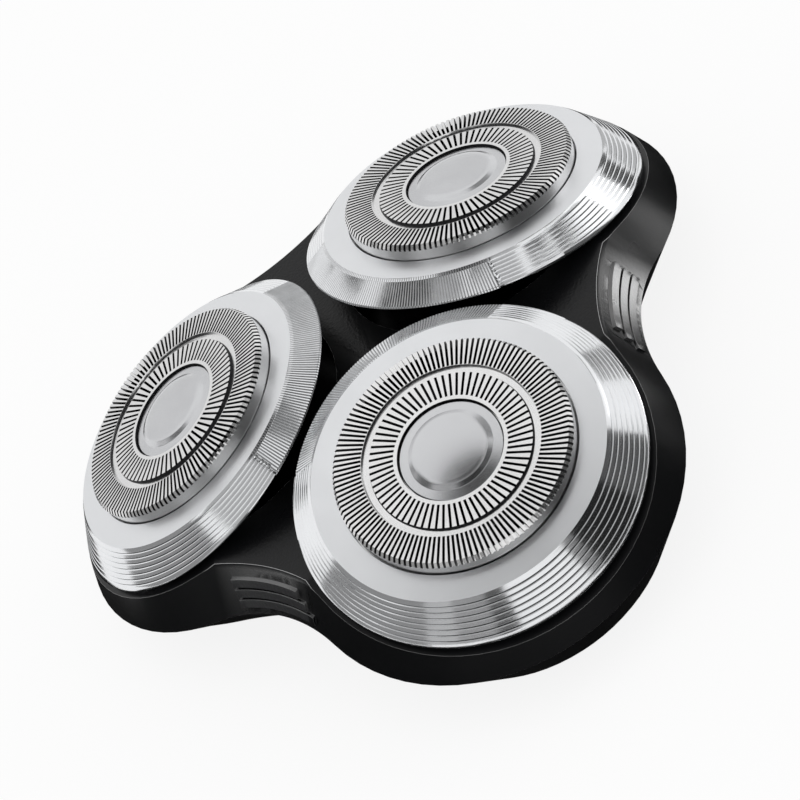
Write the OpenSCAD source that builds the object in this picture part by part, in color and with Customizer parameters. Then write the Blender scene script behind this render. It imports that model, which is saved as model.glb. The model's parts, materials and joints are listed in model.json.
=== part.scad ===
// Rotary shaver head with three leaning shaving units on a three-lobed housing.
// Millimetres. The middle axis is Z and the housing rests on Z = 0.
// Shaving unit 1 stands on +X, units 2 and 3 follow at 120 and 240 degrees.

/* [Shaving units] */
// Outer radius of the slotted guard
guard_r = 11; // [10.8:0.1:11.1]
// Width of the flat satin face round the guard
satin_w = 2.6; // [2.3:0.1:2.8]
// Reach of the bezel's lower edge beyond the satin face
skirt_w = 2.6; // [2.4:0.1:2.7]
// Drop of the bezel's lower edge below the satin face
skirt_drop = 2.5; // [2.3:0.1:2.6]
// Outward lean of each shaving unit, in degrees
head_tilt = 14.6; // [13.6:0.2:15]

/* [Guard and cutter] */
// Height of the guard's tracks above the satin face
guard_h = 1.5; // [1.4:0.05:1.7]
// Number of slots in the outer track
outer_slots = 130; // [90:10:140]
// Number of slots in the inner track
inner_slots = 70; // [50:5:80]
// Width of a slot
slot_w = 0.24; // [0.16:0.02:0.28]
// Number of lifting blades on each ring of the cutter
blade_count = 15; // [9:1:18]

/* [Housing] */
// Depth of the flat deck below the satin faces' centres
deck_drop = 2.4; // [2.2:0.1:2.8]
// Wall thickness of both housing shells
wall = 1.5; // [1.3:0.1:1.7]
// Reach of the lobes beyond the bezels' lower edges at the joint between the shells
lobe_flare = 2.4; // [2.2:0.1:2.8]
// Height of the grip ribs at the waists
rib_h = 0.25; // [0.15:0.05:0.3]
// Radius of the round seat for the handle
seat_r = 10; // [9.5:0.1:10.5]
// Depth of the round seat for the handle
seat_depth = 1.1; // [1:0.1:1.4]

/* [Drive] */
// Teeth on the drive gear, a multiple of three
drive_teeth = 36; // [33:3:36]
// Teeth on each cutter gear
cutter_teeth = 23; // [22:1:25]
// Radius of the drive socket for the handle's shaft
socket_r = 2; // [1.8:0.1:2.2]
// Room for each spindle's spring between the gear's hub and the spindle's collar
spring_room = 2.35; // [2.2:0.05:2.6]
// Running clearance on the radius of every turning fit
fit = 0.04; // [0.03:0.01:0.06]

/* [Hidden] */
$fn = 96;

// Colours as the photo shows them
black = "#17181a";
chrome = "#c9ccd0";
satin = "#d9dbdd";
steel = "#b4b8bc";
resin = "#e6e4dc";

// Bezel: its lower edge leans a little more than its face and sits outward
skirt_lean = 3.2;
skirt_shift = 0.34;
face_plate = 1;
skirt_edge = 0.35;
skirt_gap = 0.7;
satin_r = guard_r + satin_w;
skirt_r = satin_r + skirt_w;

// The units stand so far out that their leaning lower edges clear each other
skirt_x = skirt_r / sin(60);
head_r = skirt_x + skirt_drop * sin(head_tilt) - skirt_shift * cos(head_tilt);

// Gear train levels
journal_r = 4;
journal_z = 1.3;
gear_z = 2.6;
gear_t = 1.8;
plate_z = 4.6;
plate_t = 1;
shaft_r = 1.3;
hub_r = 2.05;
pin_r = 1.5;
socket_depth = 2.3;
hub_bottom = 1.1;
hub_top = plate_z + plate_t + 0.15;

// Spindle: a ball end in the cutter's carrier and a collar that the spring pushes up
ball_r = 2;
ball_drop = 2.1;
collar_r = 2.2;
collar_t = 0.4;
collar_z = hub_top + spring_room;

// Cup and its pivot: the drive ball's centre lies on the trunnion axis
pivot_drop = 5.17;
trunnion_r = 0.8;
cup_rim_r = guard_r + 1.9;
cup_bore_r = guard_r + 0.7;
cup_bottom = pivot_drop + 1.1;
cup_floor = 0.9;
cup_hole_r = 3.7;
trunnion_start = cup_rim_r - 1.9;
pivot_x = head_r - pivot_drop * sin(head_tilt);
pivot_z = collar_z + ball_drop;
face_h = pivot_z + pivot_drop * cos(head_tilt);
skirt_z = face_h - skirt_drop * cos(head_tilt) - skirt_shift * sin(head_tilt);
gear_m = 2 * pivot_x / (drive_teeth + cutter_teeth);

// Guard: folded sheet with two tracks and a groove between them
sheet = 0.4;
groove_r = guard_r - 3.15;
groove_w = 0.55;
cap_r = 0.436 * guard_r;
outer_slot_in = groove_r + 0.4;
inner_slot_out = groove_r - 0.35;
inner_slot_in = cap_r + 0.45;
flange = 0.5;
pocket_r = 2.2;
stem_r = 1.2;

// Housing levels
deck_z = face_h - deck_drop;
joint_z = face_h - 6.6;
joint_slope = 0.3;
joint_ref = head_r + 3.6;
well_r = satin_r;
well_room = 1.13;
well_drop = cup_bottom + well_room;
well_floor = 1.1;
floor_t = 1.2;
hub_floor = 2.3;
screw_r = head_r - 3.5;
screw_shank_r = 0.75;
screw_head_r = 1.75;
screw_head_z = 0.4;
screw_head_t = 1.2;
screw_shank = 6.2;
post_r = 2.6;

// Outlines: lobe centre distance, lobe radius, waist radius
OUT_TOP = [head_r - 3.1, skirt_r + 0.5, 1.22 * head_r];
OUT_JOINT = [head_r - 2.3, skirt_r + lobe_flare, 0.963 * head_r];
OUT_BOTTOM = [head_r + 0.6, skirt_r - 3.5, 1.63 * head_r];
lobe_steps = 32;
waist_steps = 20;

// Grip ribs: shares of the wall's height, and of the waist's length from unit 1's side
rib_low = 0.24;
rib_pitch = 0.21;
rib_share = 0.165;
rib_near = [5, 4, 3];
rib_far = 15;

// Places for the repeated units

module unit(i) rotate([0, 0, 120 * (i - 1)]) children();

module head_frame(i) unit(i) translate([head_r, 0, face_h]) rotate([0, head_tilt, 0]) children();

module spindle_axis(i) unit(i) translate([pivot_x, 0, 0]) children();

module waists() for (i = [1:3]) unit(i) rotate([0, 0, 60]) children();

// Three-lobed outline made of three lobe arcs and three waist arcs

function waist_dist(o) = (o[0] + sqrt(4 * pow(o[1] + o[2], 2) - 3 * o[0] * o[0])) / 2;

function grow(o, d) = [o[0], o[1] + d, o[2] - d];

function on_arc(d, at, r, a) = [d * cos(at) + r * cos(a), d * sin(at) + r * sin(a)];

function outline(o) =
  let (w = waist_dist(o), a = atan2(w * sin(60), w * cos(60) - o[0]))
  [for (k = [0:2]) each concat(
    [for (i = [0:lobe_steps]) on_arc(o[0], 120 * k, o[1], 120 * k - a + 2 * a * i / lobe_steps)],
    [for (i = [1:waist_steps - 1])
      on_arc(w, 120 * k + 60, o[2], 120 * k + 180 + a + (120 - 2 * a) * i / waist_steps)])];

function flat_ring(o, z) = [for (p = outline(o)) [p[0], p[1], z]];

function joint_ring(o) = [for (p = outline(o)) [p[0], p[1], joint_z - joint_slope * (norm(p) - joint_ref)]];

// Solid through a stack of rings with the same number of points, closed by a fan at each end
module loft(rings, low, high) {
  n = len(rings[0]);
  m = len(rings);
  side = [for (k = [0:m - 2]) for (i = [0:n - 1])
    let (j = (i + 1) % n, a = k * n, b = a + n) each [[a + i, b + i, b + j], [a + i, b + j, a + j]]];
  bottom = [for (i = [0:n - 1]) [n * m, i, (i + 1) % n]];
  top = [for (i = [0:n - 1]) [n * m + 1, (m - 1) * n + (i + 1) % n, (m - 1) * n + i]];
  polyhedron(points = concat([for (r = rings) each r], [[0, 0, low], [0, 0, high]]),
    faces = concat(side, bottom, top), convexity = 6);
}

// Everything above the three planes that lie a given gap under the bezels' lower edges
module above_bezels(gap)
  for (i = [1:3]) unit(i) translate([skirt_x, 0, skirt_z])
    rotate([0, head_tilt + skirt_lean, 0]) translate([-30, -40, -gap]) cube([60, 80, 30]);

// One raised grip rib that follows the waist wall at 60 degrees between two heights, as shares of the wall
module grip_rib(low, high, from, to) {
  t = outline(OUT_TOP);
  b = outline(OUT_JOINT);
  n = len(t);
  function at(i, s, out) =
    let (j = (i + n) % n, p = t[j] + s * (b[j] - t[j]), u = [cos(60), sin(60)],
      z = deck_z + s * (joint_z - joint_slope * (norm(b[j]) - joint_ref) - deck_z))
    [p[0] + out * u[0], p[1] + out * u[1], z];
  k = to - from;
  pts = [for (i = [from:to]) each
    [at(i, low, -0.5), at(i, low, rib_h), at(i, high, rib_h), at(i, high, -0.5)]];
  sides = [for (i = [0:k - 1]) for (j = [0:3]) let (a = 4 * i, q = (j + 1) % 4)
    each [[a + j, a + 4 + j, a + 4 + q], [a + j, a + 4 + q, a + q]]];
  polyhedron(points = pts, faces = concat([[0, 1, 2, 3]], sides,
    [[4 * k + 3, 4 * k + 2, 4 * k + 1, 4 * k]]), convexity = 4);
}

// Housing pieces

module upper_housing() color(black) difference() {
  union() {
    difference() {
      loft([joint_ring(OUT_JOINT), flat_ring(OUT_TOP, deck_z - 0.3),
        flat_ring(grow(OUT_TOP, -0.3), deck_z)], joint_z, deck_z);
      difference() {
        loft([flat_ring(grow(OUT_JOINT, -wall), -2), joint_ring(grow(OUT_JOINT, -wall)),
          flat_ring(grow(OUT_TOP, -wall), deck_z - wall)], -2, deck_z - wall);
        above_bezels(skirt_gap + wall);
      }
    }
    for (i = [1:3]) head_frame(i)
      translate([0, 0, -well_drop - well_floor]) cylinder(r = well_r + wall - 0.1, h = 6);
    waists() translate([screw_r, 0, plate_z + plate_t])
      cylinder(r = post_r - 0.3, h = deck_z - plate_z - plate_t - 0.5);
    waist_ribs();
  }
  above_bezels(skirt_gap);
  translate([0, 0, deck_z]) cylinder(r = 60, h = 20);
  for (i = [1:3]) {
    head_frame(i) translate([0, 0, -well_drop]) cylinder(r = well_r, h = 14);
    spindle_axis(i) translate([0, 0, 1]) cylinder(r = collar_r + 1.1, h = pivot_z);
    head_frame(i) translate([0, 0, -pivot_drop]) rotate([90, 0, 0])
      cylinder(r = trunnion_r + fit, h = 2 * well_r + 4, center = true);
  }
  waists() translate([screw_r, 0, 0]) cylinder(r = screw_shank_r, h = deck_z - 2);
}

// Three ribs at each waist; those at the waists beside unit 1 mirror each other
module waist_ribs() {
  for (k = [0:2]) {
    low = rib_low + rib_pitch * k;
    from = lobe_steps + rib_near[k];
    for (turn = [0, 120]) rotate([0, 0, turn]) grip_rib(low, low + rib_share, from, lobe_steps + rib_far);
    mirror([0, 1, 0]) grip_rib(low, low + rib_share, from, lobe_steps + rib_far);
  }
}

module lower_shell() color(black) difference() {
  union() {
    difference() {
      loft([flat_ring(grow(OUT_BOTTOM, -0.6), 0), flat_ring(OUT_BOTTOM, 0.6), joint_ring(OUT_JOINT)],
        0, joint_z);
      loft([flat_ring(grow(OUT_BOTTOM, -wall), floor_t), joint_ring(grow(OUT_JOINT, -wall)),
        flat_ring(grow(OUT_JOINT, -wall), joint_z + 4)], floor_t, joint_z + 4);
    }
    translate([0, 0, floor_t - 0.2]) cylinder(r = seat_r + 1.2, h = hub_floor - floor_t + 0.2);
    for (i = [1:3]) spindle_axis(i) translate([0, 0, floor_t - 0.2])
      cylinder(r = hub_r + 1.2, h = hub_floor - floor_t + 0.2);
    waists() translate([screw_r, 0, floor_t - 0.2]) rotate([0, 0, 180])
      cylinder(r = post_r, h = plate_z - floor_t + 0.2);
  }
  translate([0, 0, -1]) cylinder(r = seat_r, h = 1 + seat_depth);
  cylinder(r = journal_r + fit, h = 10);
  for (a = [0:120:240]) rotate([0, 0, a]) translate([seat_r - 0.5, -1.5, -1]) cube([1.3, 3, 1 + seat_depth]);
  for (i = [1:3]) spindle_axis(i) translate([0, 0, hub_bottom - 0.1]) cylinder(r = hub_r + fit, h = 4);
  waists() translate([screw_r, 0, -1]) {
    cylinder(r = screw_shank_r + 0.35, h = 10);
    cylinder(r = screw_head_r + 0.15, h = 1 + screw_head_z + screw_head_t);
  }
}

module gear_plate() color(steel) difference() {
  translate([0, 0, plate_z]) linear_extrude(plate_t) union() {
    circle(r = 7);
    for (i = [0:2]) rotate(120 * i) {
      translate([0, -3]) square([pivot_x, 6]);
      translate([pivot_x, 0]) circle(r = hub_r + 1.75);
      rotate(60) translate([0, -2.4]) square([screw_r, 4.8]);
      rotate(60) translate([screw_r, 0]) circle(r = post_r - 0.2);
    }
  }
  translate([0, 0, plate_z - 1]) {
    cylinder(r = pin_r + fit, h = 3);
    for (i = [1:3]) spindle_axis(i) cylinder(r = hub_r + fit, h = 3);
    waists() translate([screw_r, 0, 0]) cylinder(r = screw_shank_r + 0.35, h = 3);
  }
}

module cover_screw(i) color(steel) unit(i) rotate([0, 0, 60]) translate([screw_r, 0, 0]) difference() {
  union() {
    translate([0, 0, screw_head_z]) cylinder(r = screw_head_r, h = screw_head_t);
    translate([0, 0, screw_head_z + screw_head_t]) cylinder(r = screw_shank_r, h = screw_shank);
  }
  for (a = [0, 90]) rotate([0, 0, a]) translate([-1.2, -0.2, 0]) cube([2.4, 0.4, screw_head_z + 0.5]);
}

// Gear train

function inv(r, rb) = r <= rb ? 0 : tan(acos(rb / r)) * 180 / PI - acos(rb / r);

// Outline of an involute gear with a small thinning of each tooth
function gear_points(z, thin) =
  let (rp = gear_m * z / 2, rb = rp * cos(20), ra = rp + gear_m, rr = rp - 1.25 * gear_m,
    half = 90 / z - thin / rp * 180 / PI + inv(rp, rb),
    radii = [rr, max(rr, rb), rp - 0.3 * gear_m, rp + 0.2 * gear_m, rp + 0.6 * gear_m, ra])
  [for (k = [0:z - 1]) each concat(
    [for (r = radii) let (a = 360 * k / z - half + inv(r, rb)) r * [cos(a), sin(a)]],
    [for (q = [len(radii) - 1:-1:0])
      let (r = radii[q], a = 360 * k / z + half - inv(r, rb)) r * [cos(a), sin(a)]])];

module drive_gear() color(resin) difference() {
  union() {
    translate([0, 0, gear_z]) linear_extrude(gear_t) polygon(gear_points(drive_teeth, 0.05));
    translate([0, 0, journal_z]) cylinder(r = journal_r, h = gear_z - journal_z);
    translate([0, 0, gear_z + gear_t]) cylinder(r = pin_r, h = plate_z + plate_t - gear_z - gear_t);
  }
  translate([0, 0, journal_z - 1]) linear_extrude(1 + socket_depth) union() {
    circle(r = socket_r);
    for (a = [15:60:315]) rotate(a) translate([0, -0.225]) square([socket_r + 0.6, 0.45]);
  }
}

module cutter_gear(i) color(resin) spindle_axis(i) difference() {
  union() {
    translate([0, 0, gear_z]) rotate([0, 0, 180 + 180 / cutter_teeth])
      linear_extrude(gear_t) polygon(gear_points(cutter_teeth, 0.05));
    translate([0, 0, hub_bottom]) cylinder(r = hub_r, h = hub_top - hub_bottom);
  }
  cylinder(r = shaft_r + fit, h = 10, $fn = 6);
}

module drive_spindle(i) color(steel) spindle_axis(i) {
  translate([0, 0, gear_z - 0.6]) cylinder(r = shaft_r, h = pivot_z - gear_z + 0.6, $fn = 6);
  translate([0, 0, collar_z]) cylinder(r = collar_r, h = collar_t);
  intersection() {
    translate([0, 0, pivot_z - 0.5]) cylinder(r = ball_r, h = 1, $fn = 6);
    translate([0, 0, pivot_z]) sphere(r = ball_r);
  }
}

coil_r = 1.75;
wire_r = 0.16;
coil_sides = 6;
coil_steps = 14;
coil_turns = 3.5;

module spindle_spring(i) {
  z0 = hub_top + wire_r;
  z1 = collar_z - wire_r;
  n = coil_turns * coil_steps;
  pts = [for (k = [0:n]) let (a = 360 * k / coil_steps, z = z0 + (z1 - z0) * k / n)
    for (j = [0:coil_sides - 1]) let (b = 360 * j / coil_sides, r = coil_r + wire_r * cos(b))
      [r * cos(a), r * sin(a), z + wire_r * sin(b)]];
  sides = [for (k = [0:n - 1]) for (j = [0:coil_sides - 1])
    let (a = k * coil_sides, q = (j + 1) % coil_sides, b = a + coil_sides)
    each [[a + j, a + q, b + q], [a + j, b + q, b + j]]];
  color(steel) spindle_axis(i) polyhedron(points = pts, faces = concat(
    [[for (j = [coil_sides - 1:-1:0]) j]], sides, [[for (j = [0:coil_sides - 1]) n * coil_sides + j]]),
    convexity = 8);
}

// Shaving unit pieces

module head_cup(i) color(black) head_frame(i) {
  rotate_extrude() polygon([[cup_hole_r, -cup_bottom], [cup_rim_r - 3.1, -cup_bottom], [cup_rim_r - 0.9, -4.2],
    [cup_rim_r, -2], [cup_rim_r, -face_plate], [cup_bore_r, -face_plate], [cup_bore_r, -2.4],
    [cup_bore_r - 0.8, -3.2], [cup_bore_r - 0.9, -4], [cup_bore_r - 2.5, cup_floor - cup_bottom],
    [cup_hole_r, cup_floor - cup_bottom]]);
  for (s = [-1, 1]) translate([0, s * trunnion_start, -pivot_drop]) rotate([-90 * s, 0, 0])
    cylinder(r = trunnion_r, h = well_r + wall - 0.2 - trunnion_start);
}

module bezel_ring(i) color(chrome) head_frame(i) difference() {
  hull() {
    translate([0, 0, -0.2]) cylinder(r = satin_r, h = 0.2);
    translate([skirt_shift, 0, -skirt_drop]) rotate([0, skirt_lean, 0]) cylinder(r = skirt_r, h = skirt_edge);
  }
  translate([0, 0, -5]) cylinder(r = guard_r + 0.1, h = 10);
  translate([0, 0, -5]) cylinder(r = cup_rim_r + 0.02, h = 5 - face_plate);
  translate([skirt_shift, 0, -skirt_drop]) rotate([0, skirt_lean, 0])
    translate([0, 0, -1]) cylinder(r1 = skirt_r - 0.1, r2 = skirt_r - 2.6, h = 2.4);
}

// Cross-section of the folded guard sheet, from the rim's flange to the centre hole
function guard_section() = [
  [guard_r - 0.45, -face_plate - flange], [guard_r + 0.6, -face_plate - flange],
  [guard_r + 0.6, -face_plate], [guard_r, -face_plate], [guard_r, guard_h - 0.35],
  [guard_r - 0.3, guard_h],
  [groove_r + groove_w / 2 + 0.1, guard_h], [groove_r + groove_w / 2, guard_h - 0.3],
  [groove_r - groove_w / 2, guard_h - 0.3], [groove_r - groove_w / 2 - 0.1, guard_h],
  [cap_r + 0.1, guard_h], [cap_r + 0.05, guard_h - 0.5], [pocket_r, guard_h - 0.5],
  [pocket_r, guard_h - 0.5 - sheet], [cap_r + 0.35, guard_h - 0.5 - sheet], [cap_r + 0.55, guard_h - sheet],
  [groove_r - groove_w / 2 - 0.5, guard_h - sheet], [groove_r - groove_w / 2 - 0.3, guard_h - 0.3 - sheet],
  [groove_r + groove_w / 2 + 0.3, guard_h - 0.3 - sheet], [groove_r + groove_w / 2 + 0.5, guard_h - sheet],
  [guard_r - 0.75, guard_h - sheet], [guard_r - 0.45, guard_h - 0.7]];

module slots(count, from, to, slant, low)
  for (k = [0:count - 1]) rotate([0, 0, 360 * k / count]) translate([from, 0, low])
    rotate([0, 0, slant]) translate([0, -slot_w / 2, 0]) cube([to - from, slot_w, 3]);

module shaving_guard(i) color(steel) head_frame(i) difference() {
  rotate_extrude() polygon(guard_section());
  slots(outer_slots, outer_slot_in, guard_r + 0.5, 4, guard_h - 0.5);
  slots(inner_slots, inner_slot_in, inner_slot_out, 6, guard_h - 0.6);
}

module guard_cap(i) color(satin) head_frame(i) rotate_extrude() polygon([
  [0, -1.4], [stem_r, -1.4], [stem_r, guard_h - 0.5 - sheet - 0.2], [pocket_r - 0.05, guard_h - 0.5 - sheet],
  [pocket_r - 0.05, guard_h - 0.5], [cap_r, guard_h - 0.5], [cap_r, guard_h - 0.3],
  [0.73 * cap_r, guard_h - 0.22], [0.71 * cap_r, guard_h - 0.07], [0.42 * cap_r, guard_h + 0.02],
  [0, guard_h + 0.06]]);

module retaining_ring(i) color(black) head_frame(i) difference() {
  union() {
    translate([0, 0, -2.3]) difference() {
      cylinder(r = cup_bore_r, h = 2.3 - face_plate - flange);
      translate([0, 0, -1]) cylinder(r = guard_r - 0.3, h = 4);
    }
    for (a = [30:120:270]) rotate([0, 0, a]) translate([guard_r - 1.6, -1.2, -2.3]) cube([2, 2.4, 0.45]);
  }
  translate([0, 0, -4]) cylinder(r = guard_r - 1.5, h = 6);
}

module cutter(i) color(steel) head_frame(i) difference() {
  union() {
    translate([0, 0, -1.5]) cylinder(r = guard_r - 0.7, h = 0.4);
    for (k = [0:blade_count - 1]) rotate([0, 0, 360 * k / blade_count]) {
      blade(outer_slot_in + 0.5, guard_r - 0.95);
      rotate([0, 0, 9]) blade(inner_slot_in + 0.3, inner_slot_out - 0.6);
    }
  }
  translate([0, 0, -3]) cylinder(r = stem_r + fit, h = 3);
  for (k = [0:4]) rotate([0, 0, 72 * k]) translate([cap_r - 0.9, 0, -3]) cylinder(r = 0.8, h = 3);
}

// One lifting blade, raked back and rising to just under the guard's sheet
module blade(from, to) translate([from, 0, -1.2]) rotate([-12, 0, 0])
  cube([to - from, 0.35, guard_h - sheet + 1.05]);

module cutter_carrier(i) color(resin) head_frame(i) difference() {
  union() {
    translate([0, 0, -2]) cylinder(r = cap_r + 0.4, h = 0.5);
    translate([0, 0, -pivot_drop - 0.6]) cylinder(r = ball_r + 1, h = pivot_drop - 1.2);
  }
  translate([0, 0, -pivot_drop - 2]) cylinder(r = ball_r + 0.2, h = 3.6, $fn = 6);
  translate([0, 0, -3]) cylinder(r = stem_r + 0.1, h = 3);
}

upper_housing();
lower_shell();
gear_plate();
drive_gear();
for (i = [1:3]) {
  cover_screw(i);
  head_cup(i);
  bezel_ring(i);
  shaving_guard(i);
  guard_cap(i);
  retaining_ring(i);
  cutter(i);
  cutter_carrier(i);
  cutter_gear(i);
  drive_spindle(i);
  spindle_spring(i);
}
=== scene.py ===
"""Rotary shaver head: the looks of its visible pieces, modelled and finished around the CAD frame.
Metres, in the frame's own axes. Unit 1 stands on +X, units 2 and 3 follow at 120 and 240 degrees."""

import json
import math

import bpy
from mathutils import Matrix, Vector


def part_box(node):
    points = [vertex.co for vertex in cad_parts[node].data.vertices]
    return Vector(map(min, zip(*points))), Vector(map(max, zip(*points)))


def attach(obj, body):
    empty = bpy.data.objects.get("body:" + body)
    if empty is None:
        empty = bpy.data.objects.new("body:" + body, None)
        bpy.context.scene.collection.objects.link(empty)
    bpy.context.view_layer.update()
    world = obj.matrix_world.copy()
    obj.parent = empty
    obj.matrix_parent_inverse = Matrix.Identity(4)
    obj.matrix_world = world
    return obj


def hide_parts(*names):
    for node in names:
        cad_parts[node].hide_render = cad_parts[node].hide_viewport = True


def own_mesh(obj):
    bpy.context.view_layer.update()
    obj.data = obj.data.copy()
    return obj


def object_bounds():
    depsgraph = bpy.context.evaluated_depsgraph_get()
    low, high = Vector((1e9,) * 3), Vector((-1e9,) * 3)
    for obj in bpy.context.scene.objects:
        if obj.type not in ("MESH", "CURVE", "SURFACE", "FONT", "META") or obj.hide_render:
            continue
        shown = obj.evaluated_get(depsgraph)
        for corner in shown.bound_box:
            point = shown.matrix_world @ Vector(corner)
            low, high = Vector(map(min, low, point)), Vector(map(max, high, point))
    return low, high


bl_info = {
    "name": "Rotary Shaver Head",
    "version": (1, 0, 0),
    "blender": (4, 5, 0),
    "location": "View3D > Sidebar > Shaver Head",
    "description": "Models and finishes a rotary shaver head with three shaving units",
    "category": "Add Mesh",
}

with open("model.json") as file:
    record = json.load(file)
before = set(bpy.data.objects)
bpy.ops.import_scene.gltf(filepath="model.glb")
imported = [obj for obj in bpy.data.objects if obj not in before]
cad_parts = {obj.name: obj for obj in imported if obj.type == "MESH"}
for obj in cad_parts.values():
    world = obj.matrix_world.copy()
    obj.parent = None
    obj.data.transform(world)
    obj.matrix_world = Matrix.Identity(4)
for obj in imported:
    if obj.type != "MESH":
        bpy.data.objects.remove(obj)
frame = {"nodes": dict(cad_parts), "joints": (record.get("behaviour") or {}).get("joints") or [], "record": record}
CAD_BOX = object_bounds()
UNITS = (1, 2, 3)
JOINTS = {joint["name"]: joint for joint in frame["record"]["behaviour"]["joints"]}
MM = 0.001
UP = Vector((0, 0, 1))


def head_matrix(unit):
    """Local frame of a shaving unit: Z is the guard's axis, X points away from the middle axis."""
    spin = next(j for j in frame["joints"] if j["name"] == f"cutter_spin_{unit}")
    place = Vector(spin["pos_m"])
    lean = Vector(spin["axis"]).normalized()
    across = UP.cross(lean).normalized()
    return Matrix.Translation(place) @ Matrix((across.cross(lean), across, lean)).transposed().to_4x4()


HEADS = {unit: head_matrix(unit) for unit in UNITS}


class BezelSizes(bpy.types.PropertyGroup):
    bore: bpy.props.FloatProperty(
        name="Bore radius", description="Radius of the opening round the guard",
        default=11.1 * MM, unit="LENGTH")
    satin: bpy.props.FloatProperty(
        name="Satin radius", description="Outer radius of the flat satin face",
        default=13.6 * MM, unit="LENGTH")
    edge: bpy.props.FloatProperty(
        name="Lower edge radius", description="Radius of the skirt's lower edge",
        default=16.2 * MM, unit="LENGTH")
    fall: bpy.props.FloatProperty(
        name="Fall", description="Fall of the satin face from the guard to the skirt",
        default=0.10 * MM, unit="LENGTH")
    drop: bpy.props.FloatProperty(
        name="Drop", description="Drop of the skirt's lower edge below the satin face",
        default=2.5 * MM, unit="LENGTH")
    lip: bpy.props.FloatProperty(
        name="Lip", description="Height of the skirt's upright lower lip",
        default=0.2 * MM, unit="LENGTH")
    lean: bpy.props.FloatProperty(
        name="Extra lean", description="How much more the lower edge leans than the satin face",
        default=math.radians(3.2), subtype="ANGLE")
    shift: bpy.props.FloatProperty(
        name="Shift", description="How far the lower edge sits outward of the satin face",
        default=0.34 * MM, unit="LENGTH")
    steps: bpy.props.IntProperty(
        name="Steps round", description="Number of steps round the ring; every second one is a line of the knurl",
        default=720)
    bands: bpy.props.IntProperty(
        name="Bands", description="Number of turned bands on the skirt", default=8)
    groove: bpy.props.FloatProperty(
        name="Groove width", description="Width of the groove between two bands",
        default=0.16 * MM, unit="LENGTH")
    groove_depth: bpy.props.FloatProperty(
        name="Groove depth", description="Depth of the groove between two bands",
        default=0.05 * MM, unit="LENGTH")
    knurl: bpy.props.FloatProperty(
        name="Knurl sector", description="Half the angle of the knurled sector that faces the middle",
        default=math.radians(46.5), subtype="ANGLE")
    knurl_depth: bpy.props.FloatProperty(
        name="Knurl depth", description="Depth of the fine lines in the knurled sector",
        default=0.06 * MM, unit="LENGTH")


class CapSizes(bpy.types.PropertyGroup):
    radius: bpy.props.FloatProperty(
        name="Radius", description="Outer radius of the cap", default=4.8 * MM, unit="LENGTH")
    disc: bpy.props.FloatProperty(
        name="Disc radius", description="Radius of the raised disc in the cap's middle",
        default=3.45 * MM, unit="LENGTH")
    foot: bpy.props.FloatProperty(
        name="Foot height", description="Height of the flange's underside above the satin face",
        default=0.95 * MM, unit="LENGTH")
    rim: bpy.props.FloatProperty(
        name="Rim height", description="Height of the flange's outer edge above the satin face",
        default=1.3 * MM, unit="LENGTH")
    step: bpy.props.FloatProperty(
        name="Step", description="Height of the slope round the raised disc", default=0.22 * MM, unit="LENGTH")
    slope: bpy.props.FloatProperty(
        name="Slope width", description="Width of the slope round the raised disc",
        default=0.45 * MM, unit="LENGTH")
    crown: bpy.props.FloatProperty(
        name="Crown height", description="Height of the cap's middle above the satin face",
        default=1.84 * MM, unit="LENGTH")
    steps: bpy.props.IntProperty(
        name="Steps round", description="Number of steps round the cap", default=144)


class HousingSizes(bpy.types.PropertyGroup):
    edge_round: bpy.props.FloatProperty(
        name="Edge round", description="Width of the rounded edges of both housing shells",
        default=0.15 * MM, unit="LENGTH")
    sharp: bpy.props.FloatProperty(
        name="Sharp angle", description="Edges that turn more than this angle get the round",
        default=math.radians(32), subtype="ANGLE")
    rib_low: bpy.props.FloatProperty(
        name="Ribs' low end", description="Height above which the grip ribs' faces lie",
        default=8.7 * MM, unit="LENGTH")
    rib_high: bpy.props.FloatProperty(
        name="Ribs' high end", description="Height below which the grip ribs' faces lie",
        default=12.1 * MM, unit="LENGTH")
    rib_width: bpy.props.FloatProperty(
        name="Least rib width", description="Least height of a face that belongs to a rib",
        default=0.5 * MM, unit="LENGTH")
    rib_reach: bpy.props.FloatProperty(
        name="Ribs' reach", description="Distance from the middle axis beyond which the ribs lie",
        default=20 * MM, unit="LENGTH")


class Finishes(bpy.types.PropertyGroup):
    chrome: bpy.props.FloatVectorProperty(
        name="Chrome", description="Colour of the bezels' metal", subtype="COLOR", size=4,
        default=(0.76, 0.77, 0.785, 1), min=0, max=1)
    steel: bpy.props.FloatVectorProperty(
        name="Guard steel", description="Colour of the guards", subtype="COLOR", size=4,
        default=(0.80, 0.80, 0.80, 1), min=0, max=1)
    # Nearly black: painted shade for the steel cutters, which sit in shade inside the guards; the guards' painted
    # shade takes this colour too.
    cutter: bpy.props.FloatVectorProperty(
        name="Cutter steel", description="Colour of the cutters", subtype="COLOR", size=4,
        default=(0.03, 0.03, 0.032, 1), min=0, max=1)
    cap: bpy.props.FloatVectorProperty(
        name="Cap", description="Colour of the caps in the guards' middle", subtype="COLOR", size=4,
        default=(0.62, 0.625, 0.64, 1), min=0, max=1)
    black: bpy.props.FloatVectorProperty(
        name="Housing black", description="Colour of the moulded housing", subtype="COLOR", size=4,
        default=(0.005, 0.0052, 0.0058, 1), min=0, max=1)
    # Light grey on the rounded edges of the black housing: painted highlight.
    edge: bpy.props.FloatVectorProperty(
        name="Housing edges", description="Colour of the housing's burnished edges", subtype="COLOR", size=4,
        default=(0.75, 0.755, 0.76, 1), min=0, max=1)
    rib: bpy.props.FloatVectorProperty(
        name="Grip ribs", description="Colour of the grip ribs' grained faces", subtype="COLOR", size=4,
        default=(0.035, 0.0355, 0.037, 1), min=0, max=1)
    resin: bpy.props.FloatVectorProperty(
        name="Gear resin", description="Colour of the gears", subtype="COLOR", size=4,
        default=(0.78, 0.76, 0.70, 1), min=0, max=1)


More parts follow.
